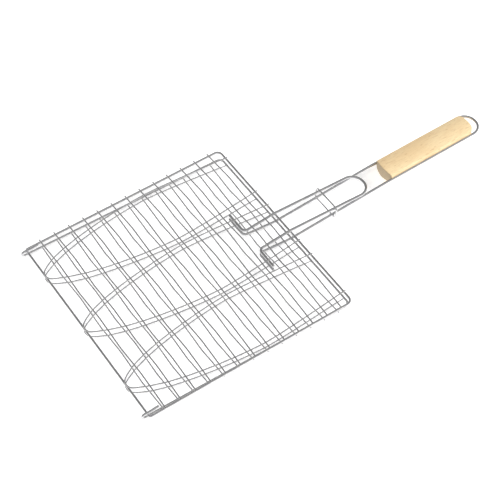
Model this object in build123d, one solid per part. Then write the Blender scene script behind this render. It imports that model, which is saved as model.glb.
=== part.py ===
from build123d import *
import math
import os

# A hinged wire basket for grilling three fish side by side.  Two welded wire
# grids open like a book about a bar at the rear, and each grid carries a wire
# handle at the front.  A wire ring slides over both handles and locks them.
#
# Sizes are in millimetres.  Every piece is drawn in the hinge frame first: the
# hinge axis is Y, +X runs to the handle and +Z is up.  The lower grid lies level
# in it.  The upper grid is drawn level too and then tilted about the hinge.

# Wires
FRAME_WIRE = 3.4
CROSS_WIRE = 2.2
FISH_WIRE = 2.0
HANDLE_WIRE = 4.2
RING_WIRE = 2.4
WELD_SINK = 0.12            # depth that two welded wires sink into each other

# Grids
BASKET_LENGTH = 321.5       # hinge axis to the front bars
LOWER_HALF_WIDTH = 159.0    # the lower grid nests between the upper side wires
UPPER_HALF_WIDTH = 164.0
FRONT_CORNER = 8.0
REAR_CORNER = 3.0
FRONT_GAP = 12.0            # between the two front bars when the basket is shut

# Hinge hooks at the rear ends of the lower frame
HOOK_CLEARANCE = 0.35
HOOK_REACH = 8.25           # wire axis behind the hinge axis
HOOK_TAIL = 17.0            # tip in front of the hinge axis
HOOK_FLARE = 1.5
HOOK_FLARE_START = 5.0

# Cross wires, bowed outward over each fish
CROSS_COUNT = 13
CROSS_FIRST = 23.2
CROSS_PITCH = 23.25
CROSS_OVERHANG = 2.6
FISH_PITCH = 106.7
BOW_HEIGHT = 5.6
BOW_BEND = 60.0

# Fish wires
FISH_NAMES = ("left", "middle", "right")
FISH_HALF_WIDTH = 47.5
FISH_WIDEST = 190.0         # from the hinge axis
FISH_TAIL_HALF_WIDTH = 38.5
FISH_OVERHANG = 2.0
SNOUT_HALF_WIDTH = 6.2
SNOUT_BEND = 10.0
CHEEK = 9.0                 # from the hinge axis

# Handles
LEG_HALF_SPACING = 19.0
FOOT_X = 268.0
FOOT_END = 55.0
FOOT_BEND = 6.5
LOWER_RISE = 0.0847         # slope of the lower legs up to the grip
UPPER_FALL = 0.0270         # slope of the upper legs, towards the lower ones
UPPER_BEND_X = 462.0
LEG_KINK_BEND = 30.0

# Grip and hanging loop
GRIP_KINK = 488.0
GRIP_SLOPE = 0.046
GRIP_FRONT = 500.0
GRIP_BACK = 652.0
GRIP_HALF_WIDTH = 18.5
GRIP_THICKNESS = 22.0
GRIP_DOME = 4.0
GRIP_BACK_CORNER = 10.0
GRIP_SIDE = 14.0             # height of the grip's flat sides, before its edges are rounded
GRIP_EDGE = 5.0
GRIP_END_EDGE = 1.2
LOOP_X = 668.0

# Latch ring
RING_X = 396.0
RING_HALF_WIDTH = 24.4
RING_HALF_HEIGHT = 9.3
RING_CORNER = 5.0
RING_LEAN = 6.0
RING_DROP = 0.1             # below the middle of the gap between the two handles

# Places worked out from the sizes above
LOWER_PLANE = -(FRAME_WIRE + HOOK_CLEARANCE)
TILT = math.degrees(math.asin((FRONT_GAP + LOWER_PLANE) / BASKET_LENGTH))
CROSS_LEVEL = (FRAME_WIRE + CROSS_WIRE) / 2 - WELD_SINK
FISH_UNDER_CROSS = (CROSS_WIRE + FISH_WIRE) / 2 - WELD_SINK
FISH_ON_FRAME = (FRAME_WIRE + FISH_WIRE) / 2 - WELD_SINK
HANDLE_ON_FRAME = (FRAME_WIRE + HANDLE_WIRE) / 2 - WELD_SINK
FOOT_UNDER_FISH = (HANDLE_WIRE + FISH_WIRE) / 2 - WELD_SINK

REAR = -(HOOK_REACH + FRAME_WIRE / 2)
FRONT = LOOP_X + HANDLE_WIRE / 2
BOW_SLOPE = math.atan(BOW_HEIGHT / (FISH_PITCH / 2))
CREST = BOW_HEIGHT - BOW_BEND * (1 / math.cos(BOW_SLOPE) - 1)
BOTTOM = LOWER_PLANE - CROSS_LEVEL - CREST - CROSS_WIRE / 2

TO_UPPER = Rot(0, -TILT, 0)
TO_ROW = Pos(-(REAR + FRONT) / 2, 0, -BOTTOM)


def bent_path(points, bends, closed=False):
    """Straight runs through the points, with a tangent arc of the given radius at each bend."""
    corners = [Vector(*point) for point in points]
    count = len(corners)
    edges = []
    start = corners[0]
    last = count if closed else count - 1
    for index in range(1, last):
        corner = corners[index]
        ahead = corners[(index + 1) % count]
        back_way = (start - corner).normalized()
        front_way = (ahead - corner).normalized()
        half_turn = (math.pi - math.radians(back_way.get_angle(front_way))) / 2
        radius = bends[index - 1]
        reach = radius * math.tan(half_turn)
        bisector = (back_way + front_way).normalized()
        middle = corner + bisector * (radius / math.cos(half_turn) - radius)
        arc_start = corner + back_way * reach
        arc_end = corner + front_way * reach
        edges.append(Line(start, arc_start))
        edges.append(ThreePointArc(arc_start, middle, arc_end))
        start = arc_end
    edges.append(Line(start, corners[0] if closed else corners[-1]))
    return Wire(edges)


def wire_rod(path, diameter):
    """A round wire whose axis is the path."""
    section = Plane(origin=path @ 0, z_dir=path % 0) * Circle(diameter / 2)
    return sweep(section, path=path)


def mirrored_ends(half):
    """One half of a symmetrical point list, followed by its mirror image in reverse."""
    return half + [(x, -y, z) for x, y, z in reversed(half)]


def bow(y, half_width):
    """Height of a cross wire's axis above its ends: one straight-sided bow over each fish."""
    distance = abs(abs(y) - FISH_PITCH) if abs(y) > FISH_PITCH / 2 else abs(y)
    span = half_width - FISH_PITCH if abs(y) > FISH_PITCH else FISH_PITCH / 2
    return BOW_HEIGHT * max(0.0, 1 - distance / span)


def fish_half_width(x):
    """Half width of a fish outline at a distance from the hinge axis."""
    if x < FISH_WIDEST:
        return FISH_HALF_WIDTH * math.sqrt(1 - (1 - x / FISH_WIDEST) ** 1.45)
    fraction = (x - FISH_WIDEST) / (BASKET_LENGTH - FISH_WIDEST)
    return FISH_HALF_WIDTH - (FISH_HALF_WIDTH - FISH_TAIL_HALF_WIDTH) * fraction ** 1.3


def cross_x(index):
    return CROSS_FIRST + index * CROSS_PITCH


def place_lower(shape):
    """Put a piece that was drawn about the lower grid's plane into the row frame."""
    return TO_ROW * Pos(0, 0, LOWER_PLANE) * shape


def place_upper(shape):
    """Put a piece that was drawn about the upper grid's plane into the row frame."""
    return TO_ROW * TO_UPPER * shape


def lower_frame():
    """A U of wire whose rear ends hook up and over the hinge bar."""
    hook = -2 * LOWER_PLANE
    y = LOWER_HALF_WIDTH
    half = [
        (HOOK_TAIL, y, hook + HOOK_FLARE),
        (HOOK_FLARE_START, y, hook),
        (-HOOK_REACH, y, hook),
        (-HOOK_REACH, y, 0),
        (BASKET_LENGTH, y, 0),
    ]
    eye = hook / 2 - 0.05
    bends = [20, eye, eye, FRONT_CORNER]
    path = bent_path(mirrored_ends(half), bends + bends[::-1])
    return place_lower(wire_rod(path, FRAME_WIRE))


def upper_frame():
    """A closed rectangle of wire.  Its rear side is the hinge bar."""
    y = UPPER_HALF_WIDTH
    corners = [(0, 0, 0), (0, y, 0), (BASKET_LENGTH, y, 0), (BASKET_LENGTH, -y, 0), (0, -y, 0)]
    bends = [REAR_CORNER, FRONT_CORNER, FRONT_CORNER, REAR_CORNER]
    return place_upper(wire_rod(bent_path(corners, bends, closed=True), FRAME_WIRE))


def cross_wire(index, side, half_width):
    """One cross wire of the upper (side 1) or lower (side -1) grid, outside its frame."""
    x = cross_x(index)
    level = side * CROSS_LEVEL
    crest = side * (CROSS_LEVEL + BOW_HEIGHT)
    half = [
        (x, half_width + CROSS_OVERHANG, level),
        (x, half_width, level),
        (x, FISH_PITCH, crest),
        (x, FISH_PITCH / 2, level),
    ]
    points = half + [(x, 0, crest)] + [(x, -y, z) for x, y, z in reversed(half)]
    bends = [20] + [BOW_BEND] * 5 + [20]
    return wire_rod(bent_path(points, bends), CROSS_WIRE)


def fish_wire(centre, side, half_width, on_hinge_bar):
    """One fish outline, inside the cross wires, from the front bar round the snout and back."""
    stations = [cross_x(index) for index in range(CROSS_COUNT)][::-1]

    def axis_point(x):
        offset = fish_half_width(x)
        rise = bow(centre + offset, half_width) if centre >= 0 else bow(centre - offset, half_width)
        return (x, offset, side * (CROSS_LEVEL + rise - FISH_UNDER_CROSS))

    body = [axis_point(x) for x in stations]
    snout_level = side * FISH_ON_FRAME if on_hinge_bar else body[-1][2]
    cheek_level = (body[-1][2] + snout_level) / 2
    half = [(BASKET_LENGTH + FISH_OVERHANG, FISH_TAIL_HALF_WIDTH, side * FISH_ON_FRAME)]
    half += body
    half += [(CHEEK, fish_half_width(CHEEK), cheek_level), (0, SNOUT_HALF_WIDTH, snout_level)]
    bends = [90] * (len(half) - 3) + [20, SNOUT_BEND]
    path = bent_path(mirrored_ends(half), bends + bends[::-1])
    return Pos(0, centre, 0) * wire_rod(path, FISH_WIRE)


def foot_level(side):
    """Height of a handle's feet, which are welded inside the fish wires."""
    rise = bow(fish_half_width(FOOT_X), LOWER_HALF_WIDTH)
    return side * (CROSS_LEVEL + rise - FISH_UNDER_CROSS - FOOT_UNDER_FISH)


def upper_handle():
    """A short U that passes over the upper front bar and lies on the lower handle's legs."""
    y = LEG_HALF_SPACING
    fall = math.tan(math.atan(UPPER_FALL) + math.radians(TILT))
    half = [
        (FOOT_X, FOOT_END, foot_level(1)),
        (FOOT_X, y, foot_level(1)),
        (BASKET_LENGTH, y, HANDLE_ON_FRAME),
        (UPPER_BEND_X, y, HANDLE_ON_FRAME - fall * (UPPER_BEND_X - BASKET_LENGTH)),
    ]
    bends = [FOOT_BEND, LEG_KINK_BEND, y - 0.5]
    path = bent_path(mirrored_ends(half), bends + bends[::-1])
    return place_upper(wire_rod(path, HANDLE_WIRE))


def lower_leg_level(x):
    """Height of the lower handle's axis over the hinge axis, between the basket and the grip."""
    return LOWER_PLANE - HANDLE_ON_FRAME + LOWER_RISE * (x - BASKET_LENGTH)


def grip_level(x):
    """Height of the lower handle's axis over the hinge axis, along the grip and the loop."""
    return lower_leg_level(GRIP_KINK) + GRIP_SLOPE * (x - GRIP_KINK)


def lower_handle():
    """A long U: feet, legs under the lower front bar, the grip's cheeks and the hanging loop."""
    y = LEG_HALF_SPACING
    half = [
        (FOOT_X, FOOT_END, LOWER_PLANE + foot_level(-1)),
        (FOOT_X, y, LOWER_PLANE + foot_level(-1)),
        (BASKET_LENGTH, y, lower_leg_level(BASKET_LENGTH)),
        (GRIP_KINK, y, lower_leg_level(GRIP_KINK)),
        (LOOP_X, y, grip_level(LOOP_X)),
    ]
    bends = [FOOT_BEND, LEG_KINK_BEND, 4 * LEG_KINK_BEND, y - 0.5]
    path = bent_path(mirrored_ends(half), bends + bends[::-1])
    return TO_ROW * wire_rod(path, HANDLE_WIRE)


def grip():
    """A crowned wooden block between the lower handle's legs, with a groove down each side."""
    length = GRIP_BACK - GRIP_FRONT
    w = GRIP_HALF_WIDTH
    top = GRIP_THICKNESS / 2
    shoulder = GRIP_SIDE / 2
    front = ThreePointArc((0, -w), (-GRIP_DOME, 0), (0, w))
    sides = Polyline((0, w), (length, w), (length, -w), (0, -w))
    plan = make_face(Wire([front] + sides.edges()))
    plan = fillet(plan.vertices().sort_by(Axis.X)[-2:], GRIP_BACK_CORNER)
    crown = ThreePointArc((-w, shoulder), (0, top), (w, shoulder))
    belly = ThreePointArc((w, -shoulder), (0, -top), (-w, -shoulder))
    cheeks = [Line((w, shoulder), (w, -shoulder)), Line((-w, -shoulder), (-w, shoulder))]
    section = make_face(Wire([crown, cheeks[0], belly, cheeks[1]]))
    section = fillet(section.vertices(), GRIP_EDGE)
    bar = Plane(origin=(-GRIP_DOME - 1, 0, 0), x_dir=(0, 1, 0), z_dir=(1, 0, 0)) * section
    bar = extrude(bar, length + GRIP_DOME + 2)
    block = bar & extrude(plan, top + 1, both=True)
    front_rim = block.edges().filter_by(lambda edge: edge.center().X < 0.5)
    block = fillet(front_rim, GRIP_END_EDGE)
    for side in (1, -1):
        axis = Pos(length / 2, side * LEG_HALF_SPACING, 0) * Rot(0, 90, 0)
        block -= axis * Cylinder(HANDLE_WIRE / 2, length + 4 * GRIP_DOME)
    slope = math.degrees(math.atan(GRIP_SLOPE))
    return TO_ROW * Pos(GRIP_FRONT, 0, grip_level(GRIP_FRONT)) * Rot(0, -slope, 0) * block


def latch_ring():
    """A rectangular wire ring round both handles."""
    w = RING_HALF_WIDTH
    h = RING_HALF_HEIGHT
    corners = [(0, 0, h), (0, w, h), (0, w, -h), (0, -w, -h), (0, -w, h)]
    path = bent_path(corners, [RING_CORNER] * 4, closed=True)
    upper_leg = math.sin(math.radians(TILT)) * BASKET_LENGTH + HANDLE_ON_FRAME
    upper_leg -= UPPER_FALL * (RING_X - BASKET_LENGTH)
    middle = (upper_leg + lower_leg_level(RING_X)) / 2 - RING_DROP
    return TO_ROW * Pos(RING_X, 0, middle) * Rot(0, RING_LEAN, 0) * wire_rod(path, RING_WIRE)


def all_pieces():
    pieces = {
        "lower_frame": lower_frame(),
        "upper_frame": upper_frame(),
        "lower_handle": lower_handle(),
        "upper_handle": upper_handle(),
        "grip": grip(),
        "latch_ring": latch_ring(),
    }
    for index in range(CROSS_COUNT):
        number = f"{index + 1:02d}"
        lower = cross_wire(index, -1, LOWER_HALF_WIDTH)
        upper = cross_wire(index, 1, UPPER_HALF_WIDTH)
        pieces[f"lower_cross_wire_{number}"] = place_lower(lower)
        pieces[f"upper_cross_wire_{number}"] = place_upper(upper)
    for place, name in zip((1, 0, -1), FISH_NAMES):
        centre = place * FISH_PITCH
        lower = fish_wire(centre, -1, LOWER_HALF_WIDTH, False)
        upper = fish_wire(centre, 1, UPPER_HALF_WIDTH, True)
        pieces[f"lower_fish_wire_{name}"] = place_lower(lower)
        pieces[f"upper_fish_wire_{name}"] = place_upper(upper)
    return pieces


os.makedirs("parts", exist_ok=True)
for node, piece in all_pieces().items():
    export_step(piece, f"parts/{node}.step")
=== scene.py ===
import math

import bmesh
import bpy
from mathutils import Matrix, Vector


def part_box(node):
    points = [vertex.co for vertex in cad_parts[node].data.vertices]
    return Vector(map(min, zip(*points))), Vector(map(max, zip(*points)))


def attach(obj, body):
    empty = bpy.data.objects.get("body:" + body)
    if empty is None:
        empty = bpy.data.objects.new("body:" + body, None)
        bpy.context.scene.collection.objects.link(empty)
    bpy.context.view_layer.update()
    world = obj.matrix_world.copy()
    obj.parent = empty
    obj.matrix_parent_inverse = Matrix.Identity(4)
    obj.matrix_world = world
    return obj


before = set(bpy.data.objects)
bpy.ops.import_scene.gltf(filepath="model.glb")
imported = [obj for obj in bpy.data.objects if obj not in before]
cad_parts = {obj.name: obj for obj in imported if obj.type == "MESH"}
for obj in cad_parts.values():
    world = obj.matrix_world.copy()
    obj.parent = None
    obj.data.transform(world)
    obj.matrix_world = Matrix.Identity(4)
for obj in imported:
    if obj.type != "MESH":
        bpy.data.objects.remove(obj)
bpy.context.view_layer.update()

MM = 0.001

# Sky brightness at the horizon, and above it towards -Y (near) and +Y (far)
HORIZON = 0.5
SKY_NEAR = 0.5
SKY_FAR = 0.26
# Directions between which one brightness passes into the next: up, and across
HORIZON_TOP, SKY_START = 0.12, 0.32
NEAR_SIDE, FAR_SIDE = -0.2, 0.35

# Floor and lamps
FLOOR_SIZE = 14
FLOOR_DROP = 0.0004
FLOOR_GLOW = 0.45
SIDE_POWER = 34
TOP_POWER = 34
REAR_POWER = 26

# Basket sizes in millimetres, in the hinge frame: the hinge axis is Y and +X runs to the handle
HINGE_HEIGHT = 12.80122
FRAME_RADIUS = 1.7
BASKET_LENGTH = 321.5
FRONT_GAP = 12.0
LOWER_PLANE = -3.75
SIDE_Y = {-1: 159.0, 1: 164.0}
CROSS_X = [23.2 + 23.25 * index for index in range(13)]
CROSS_LEVEL = 2.68
BOW_HEIGHT = 5.6
FISH_PITCH = 106.7
FISH_Y = (-FISH_PITCH, 0.0, FISH_PITCH)
FISH_HALF_WIDTH = 47.5
FISH_TAIL_HALF_WIDTH = 38.5
FISH_WIDEST = 190
LEG_HALF_SPACING = 19.0
FOOT_X = 268.0

# Heights of the places where two wires touch, off the axis of the frame or cross wire
FRAME_CONTACT = 1.64
FISH_CONTACT = 1.04
FISH_UNDER_CROSS = 1.98
FOOT_CONTACT = 0.94

# Weld beads: radius and half thickness
GRID_BEAD = (1.25, 0.42)
HANDLE_BEAD = (2.0, 0.7)


# ---------------------------------------------------------------- shader maths

class Socket:
    """One output socket of a finish.  Arithmetic on it adds Math nodes."""

    def __init__(self, finish, socket):
        self.finish = finish
        self.socket = socket

    def math(self, operation, *others):
        return self.finish.math(operation, self, *others)

    def __add__(self, other):
        return self.math("ADD", other)

    def __radd__(self, other):
        return self.finish.math("ADD", other, self)

    def __sub__(self, other):
        return self.math("SUBTRACT", other)

    def __rsub__(self, other):
        return self.finish.math("SUBTRACT", other, self)

    def __mul__(self, other):
        return self.math("MULTIPLY", other)

    def __rmul__(self, other):
        return self.finish.math("MULTIPLY", other, self)

    def __abs__(self):
        return self.math("ABSOLUTE")

    def step(self, low, high):
        """0 below low, 1 above high, smooth between."""
        node = self.finish.node("ShaderNodeMapRange", {"interpolation_type": "SMOOTHSTEP"},
                                {"Value": self, "From Min": low, "From Max": high})
        return node["Result"]


class Node:
    """A node whose outputs are read by name."""

    def __init__(self, finish, node):
        self.finish = finish
        self.node = node

    def __getitem__(self, name):
        return Socket(self.finish, self.node.outputs[name])


class Finish:
    """A material and the nodes that make it up."""

    def __init__(self, name, colour, metallic, roughness, **constants):
        self.material = bpy.data.materials.new(name)
        self.material.use_nodes = True
        self.tree = self.material.node_tree
        self.shader = self.tree.nodes["Principled BSDF"]
        self.set("Base Color", (*colour, 1.0))
        self.set("Metallic", metallic)
        self.set("Roughness", roughness)
        for key, value in constants.items():
            self.set(key.replace("_", " "), value)

    def plug(self, target, value):
        if isinstance(value, Socket):
            self.tree.links.new(value.socket, target)
        else:
            target.default_value = value

    def set(self, name, value):
        """Put a constant or a socket on one of the main shader's inputs."""
        self.plug(self.shader.inputs[name], value)

    def node(self, kind, settings=None, inputs=None):
        node = self.tree.nodes.new(kind)
        for key, value in (settings or {}).items():
            setattr(node, key, value)
        for key, value in (inputs or {}).items():
            self.plug(node.inputs[key], value)
        return Node(self, node)

    def math(self, operation, *values):
        return self.node("ShaderNodeMath", {"operation": operation}, dict(enumerate(values)))["Value"]

    def place(self, stretch=(1, 1, 1)):
        """Position on the piece in metres, each axis multiplied by its stretch."""
        where = self.node("ShaderNodeTexCoord")["Object"]
        inputs = {0: where, 1: stretch}
        return self.node("ShaderNodeVectorMath", {"operation": "MULTIPLY"}, inputs)["Vector"]

    def noise(self, where, scale, detail=2.0, rough=0.5, distortion=0.0):
        inputs = {"Vector": where, "Scale": scale, "Detail": detail}
        inputs.update({"Roughness": rough, "Distortion": distortion})
        return self.node("ShaderNodeTexNoise", {}, inputs)["Fac"]

    def mix(self, factor, a, b):
        """Colour a where the factor is 0 and colour b where it is 1."""
        node = self.node("ShaderNodeMix", {"data_type": "RGBA"})
        colours = [socket for socket in node.node.inputs if socket.type == "RGBA"]
        self.plug(node.node.inputs[0], factor)
        self.plug(colours[0], a if isinstance(a, Socket) else (*a, 1.0))
        self.plug(colours[1], b if isinstance(b, Socket) else (*b, 1.0))
        result = [socket for socket in node.node.outputs if socket.type == "RGBA"][0]
        return Socket(self, result)

    def bump(self, height, strength, distance):
        inputs = {"Height": height, "Strength": strength, "Distance": distance}
        self.set("Normal", self.node("ShaderNodeBump", {}, inputs)["Normal"])


# ---------------------------------------------------------------- finishes

def drawn_chrome(name, along, tone=0.7):
    """Chrome-plated drawn wire: die lines along the wire, faint cloudiness and pin-sized pits."""
    finish = Finish(name, (tone, tone, tone), 1.0, 0.12)
    die_lines = tuple(0.02 if axis == along else 1.0 for axis in "xyz")
    lines = finish.noise(finish.place(die_lines), 2600, 3.0, 0.6)
    cloud = finish.noise(finish.place(), 90, 3.0, 0.55)
    pits = finish.noise(finish.place(), 900, 1.0, 0.4).step(0.68, 0.78)
    dull = (tone * 0.93, tone * 0.93, tone * 0.95)
    clear = (tone * 1.06, tone * 1.05, tone * 1.04)
    shade = finish.mix(cloud.step(0.35, 0.7), dull, clear)
    shade = finish.mix(pits * 0.5, shade, (0.36, 0.35, 0.34))
    finish.set("Base Color", shade)
    finish.set("Roughness", 0.07 + 0.1 * cloud + 0.06 * lines + 0.2 * pits)
    finish.bump(lines * 0.6 - pits, 0.25, 0.00003)
    return finish.material


def beech(name):
    """Sanded beech, grain along X: growth bands, ray flecks, pores and darker end grain."""
    finish = Finish(name, (0.8, 0.6, 0.36), 0.0, 0.55, IOR=1.45)
    bands = finish.noise(finish.place((0.5, 1.0, 1.0)), 42, 4.0, 0.6, 0.7)
    fibres = finish.noise(finish.place((0.06, 1.0, 1.0)), 900, 4.0, 0.65)
    flecks = finish.noise(finish.place((0.16, 1.0, 1.0)), 620, 1.0, 0.4).step(0.62, 0.72)
    pores = finish.noise(finish.place((0.08, 1.0, 1.0)), 2300, 1.0, 0.4).step(0.6, 0.75)
    wood = finish.mix(bands.step(0.32, 0.7), (0.88, 0.70, 0.425), (0.83, 0.62, 0.355))
    wood = finish.mix(fibres.step(0.35, 0.75) * 0.35, wood, (0.66, 0.44, 0.22))
    wood = finish.mix(flecks * 0.4, wood, (0.52, 0.31, 0.14))
    wood = finish.mix(pores * 0.25, wood, (0.42, 0.25, 0.12))
    normal = finish.node("ShaderNodeTexCoord")["Normal"]
    facing = abs(finish.node("ShaderNodeSeparateXYZ", {}, {"Vector": normal})["X"])
    end = facing.step(0.72, 0.93)
    wave = {"Vector": finish.place(), "Scale": 160.0, "Distortion": 2.5, "Detail": 2.0}
    wave["Detail Scale"] = 1.0
    rings = finish.node("ShaderNodeTexWave", {"wave_type": "RINGS", "rings_direction": "X"}, wave)["Fac"]
    end_pores = finish.noise(finish.place(), 1500, 2.0, 0.5).step(0.5, 0.68)
    grain = finish.mix(rings * 0.6, (0.56, 0.45, 0.30), (0.45, 0.34, 0.21))
    grain = finish.mix(end_pores * 0.4, grain, (0.30, 0.21, 0.12))
    finish.set("Base Color", finish.mix(end, wood, grain))
    finish.set("Roughness", 0.5 + 0.1 * fibres + 0.15 * end)
    finish.bump(fibres * 0.7 - flecks * 0.4 - pores - end_pores * end, 0.35, 0.00006)
    return finish.material


def dress(node, material):
    """Give a carried-over piece its finish."""
    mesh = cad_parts[node].data
    for index in range(len(mesh.materials)):
        mesh.materials[index] = material
    if not mesh.materials:
        mesh.materials.append(material)


chrome_y = drawn_chrome("chrome_cross_wire", "y")
chrome_x = drawn_chrome("chrome_long_wire", "x")
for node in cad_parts:
    if node == "grip":
        dress(node, beech("beech_grip"))
    elif "cross_wire" in node or node in ("upper_frame", "latch_ring"):
        dress(node, chrome_y)
    else:
        dress(node, chrome_x)


# ---------------------------------------------------------------- weld beads

HINGE = Vector((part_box("upper_frame")[0].x + FRAME_RADIUS * MM, 0, HINGE_HEIGHT * MM))
TILT = math.asin((FRONT_GAP + LOWER_PLANE) / BASKET_LENGTH)


def fish_half_width(x):
    """Half width of a fish outline at a distance from the hinge axis."""
    if x < FISH_WIDEST:
        return FISH_HALF_WIDTH * math.sqrt(1 - (1 - x / FISH_WIDEST) ** 1.45)
    fraction = (x - FISH_WIDEST) / (BASKET_LENGTH - FISH_WIDEST)
    return FISH_HALF_WIDTH - (FISH_HALF_WIDTH - FISH_TAIL_HALF_WIDTH) * fraction ** 1.3


def bow(y, half_width):
    """Height of a cross wire over its ends, one bow over each fish."""
    y = abs(y)
    if y <= FISH_PITCH / 2:
        return BOW_HEIGHT * (1 - y / (FISH_PITCH / 2))
    span = FISH_PITCH / 2 if y < FISH_PITCH else half_width - FISH_PITCH
    return BOW_HEIGHT * max(0.0, 1 - abs(y - FISH_PITCH) / span)


def grid_welds(side):
    """Where the thin wires of one grid touch: side -1 is the lower grid and 1 the upper."""
    spots = []
    for x in CROSS_X:
        reach = fish_half_width(x)
        for y in (-SIDE_Y[side], SIDE_Y[side]):
            spots.append((x, y, side * FRAME_CONTACT))
        for centre in FISH_Y:
            rise = bow(abs(centre) + reach, SIDE_Y[side])
            for turn in (-1, 1):
                level = side * (CROSS_LEVEL + rise - FISH_CONTACT)
                spots.append((x, centre + turn * reach, level))
    for centre in FISH_Y:
        for turn in (-1, 1):
            tail = centre + turn * FISH_TAIL_HALF_WIDTH
            spots.append((BASKET_LENGTH, tail, side * FRAME_CONTACT))
    return spots


def handle_welds(side):
    """Where one handle touches its front bar and the middle fish wire."""
    reach = fish_half_width(FOOT_X)
    level = CROSS_LEVEL + bow(reach, SIDE_Y[-1]) - FISH_UNDER_CROSS - FOOT_CONTACT
    bar = [(BASKET_LENGTH, turn * LEG_HALF_SPACING, side * FRAME_CONTACT) for turn in (-1, 1)]
    feet = [(FOOT_X, turn * reach, side * level) for turn in (-1, 1)]
    return bar + feet


def beads(name, spots, side, bead, body, material):
    """Small flattened beads, one at each weld, as one piece.  No two neighbours are alike."""
    radius, thickness = bead
    mesh = bmesh.new()
    for number, (x, y, z) in enumerate(spots):
        swell = 1.0 + 0.12 * math.sin(number * 2.4)
        size = Matrix.Diagonal((radius * swell, radius * (2 - swell), thickness, 1.0))
        if side > 0:
            place = Matrix.Rotation(-TILT, 4, "Y") @ Matrix.Translation(Vector((x, y, z)) * MM)
        else:
            place = Matrix.Translation(Vector((x, y, z + LOWER_PLANE)) * MM)
        matrix = Matrix.Translation(HINGE) @ place @ size
        bmesh.ops.create_icosphere(mesh, subdivisions=2, radius=MM, matrix=matrix)
    data = bpy.data.meshes.new(name)
    mesh.to_mesh(data)
    mesh.free()
    data.polygons.foreach_set("use_smooth", [True] * len(data.polygons))
    data.materials.append(material)
    piece = bpy.data.objects.new(name, data)
    bpy.context.collection.objects.link(piece)
    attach(piece, body)


def weld_chrome():
    """Plated weld metal, rougher than the drawn wire."""
    finish = Finish("chrome_weld_bead", (0.68, 0.67, 0.66), 1.0, 0.25)
    ripple = finish.noise(finish.place(), 1400, 3.0, 0.6)
    shade = finish.mix(ripple.step(0.4, 0.7), (0.62, 0.60, 0.57), (0.74, 0.73, 0.72))
    finish.set("Base Color", shade)
    finish.set("Roughness", 0.16 + 0.2 * ripple)
    finish.bump(ripple, 0.4, 0.00008)
    return finish.material


bead_chrome = weld_chrome()
for side, body in ((-1, "lower_basket"), (1, "upper_basket")):
    grid = body.split("_")[0]
    beads(grid + "_grid_welds", grid_welds(side), side, GRID_BEAD, body, bead_chrome)
    beads(grid + "_handle_welds", handle_welds(side), side, HANDLE_BEAD, body, bead_chrome)


# ---------------------------------------------------------------- studio

def floor():
    """A pale floor that glows a little, so that it stays white under the object."""
    bpy.ops.mesh.primitive_plane_add(size=FLOOR_SIZE, location=(0, 0, -FLOOR_DROP))
    plane = bpy.context.object
    plane.name = "studio_floor"
    finish = Finish("pale_floor", (0.9, 0.9, 0.9), 0.0, 0.9, Emission_Strength=FLOOR_GLOW)
    finish.set("Emission Color", (1.0, 1.0, 1.0, 1.0))
    plane.data.materials.append(finish.material)


def softbox(name, place, size, power):
    """A square lamp aimed at the middle of the object and left out of reflections."""
    data = bpy.data.lights.new(name, "AREA")
    data.shape = "SQUARE"
    data.size = size
    data.energy = power
    lamp = bpy.data.objects.new(name, data)
    bpy.context.collection.objects.link(lamp)
    lamp.location = place
    lamp.visible_glossy = False
    lamp.rotation_mode = "QUATERNION"
    lamp.rotation_quaternion = (-Vector(place)).to_track_quat("-Z", "Y")


def studio():
    """A graded sky, which the chrome mirrors, and three softboxes, which it does not."""
    world = bpy.data.worlds.new("studio")
    bpy.context.scene.world = world
    world.use_nodes = True
    tree = world.node_tree
    where = tree.nodes.new("ShaderNodeTexCoord")
    split = tree.nodes.new("ShaderNodeSeparateXYZ")
    tree.links.new(where.outputs["Generated"], split.inputs[0])
    height = tree.nodes.new("ShaderNodeMapRange")
    height.interpolation_type = "SMOOTHSTEP"
    height.inputs["From Min"].default_value = HORIZON_TOP
    height.inputs["From Max"].default_value = SKY_START
    height.inputs["To Min"].default_value = HORIZON
    tree.links.new(split.outputs["Z"], height.inputs["Value"])
    side = tree.nodes.new("ShaderNodeMapRange")
    side.interpolation_type = "SMOOTHSTEP"
    side.inputs["From Min"].default_value = NEAR_SIDE
    side.inputs["From Max"].default_value = FAR_SIDE
    side.inputs["To Min"].default_value = SKY_NEAR
    side.inputs["To Max"].default_value = SKY_FAR
    tree.links.new(split.outputs["Y"], side.inputs["Value"])
    tree.links.new(side.outputs["Result"], height.inputs["To Max"])
    sky = tree.nodes["Background"]
    sky.inputs["Color"].default_value = (1.0, 1.0, 1.0, 1.0)
    tree.links.new(height.outputs["Result"], sky.inputs["Strength"])
    softbox("side_softbox", (2.3, -1.0, 1.4), 1.4, SIDE_POWER)
    softbox("top_softbox", (2.1, -0.9, 1.8), 0.9, TOP_POWER)
    softbox("rear_softbox", (-1.6, -0.9, 2.2), 1.1, REAR_POWER)
    bpy.context.scene.view_settings.view_transform = "Standard"


def camera():
    """A long lens above the hinge side, looking down along the basket."""
    data = bpy.data.cameras.new("camera")
    data.sensor_width = 36
    data.lens = 108
    data.clip_start, data.clip_end = 0.05, 50
    eye = Vector((-0.81068272, -1.07710448, 1.64926598))
    forward = Vector((0.35419544, 0.51120559, -0.7830801))
    up = Vector((0.43333035, 0.65232666, 0.62184784))
    right = forward.cross(up)
    turn = Matrix((right, up, -forward)).transposed()
    item = bpy.data.objects.new("camera", data)
    bpy.context.collection.objects.link(item)
    item.matrix_world = Matrix.Translation(eye) @ turn.to_4x4()
    bpy.context.scene.camera = item


floor()
studio()
camera()
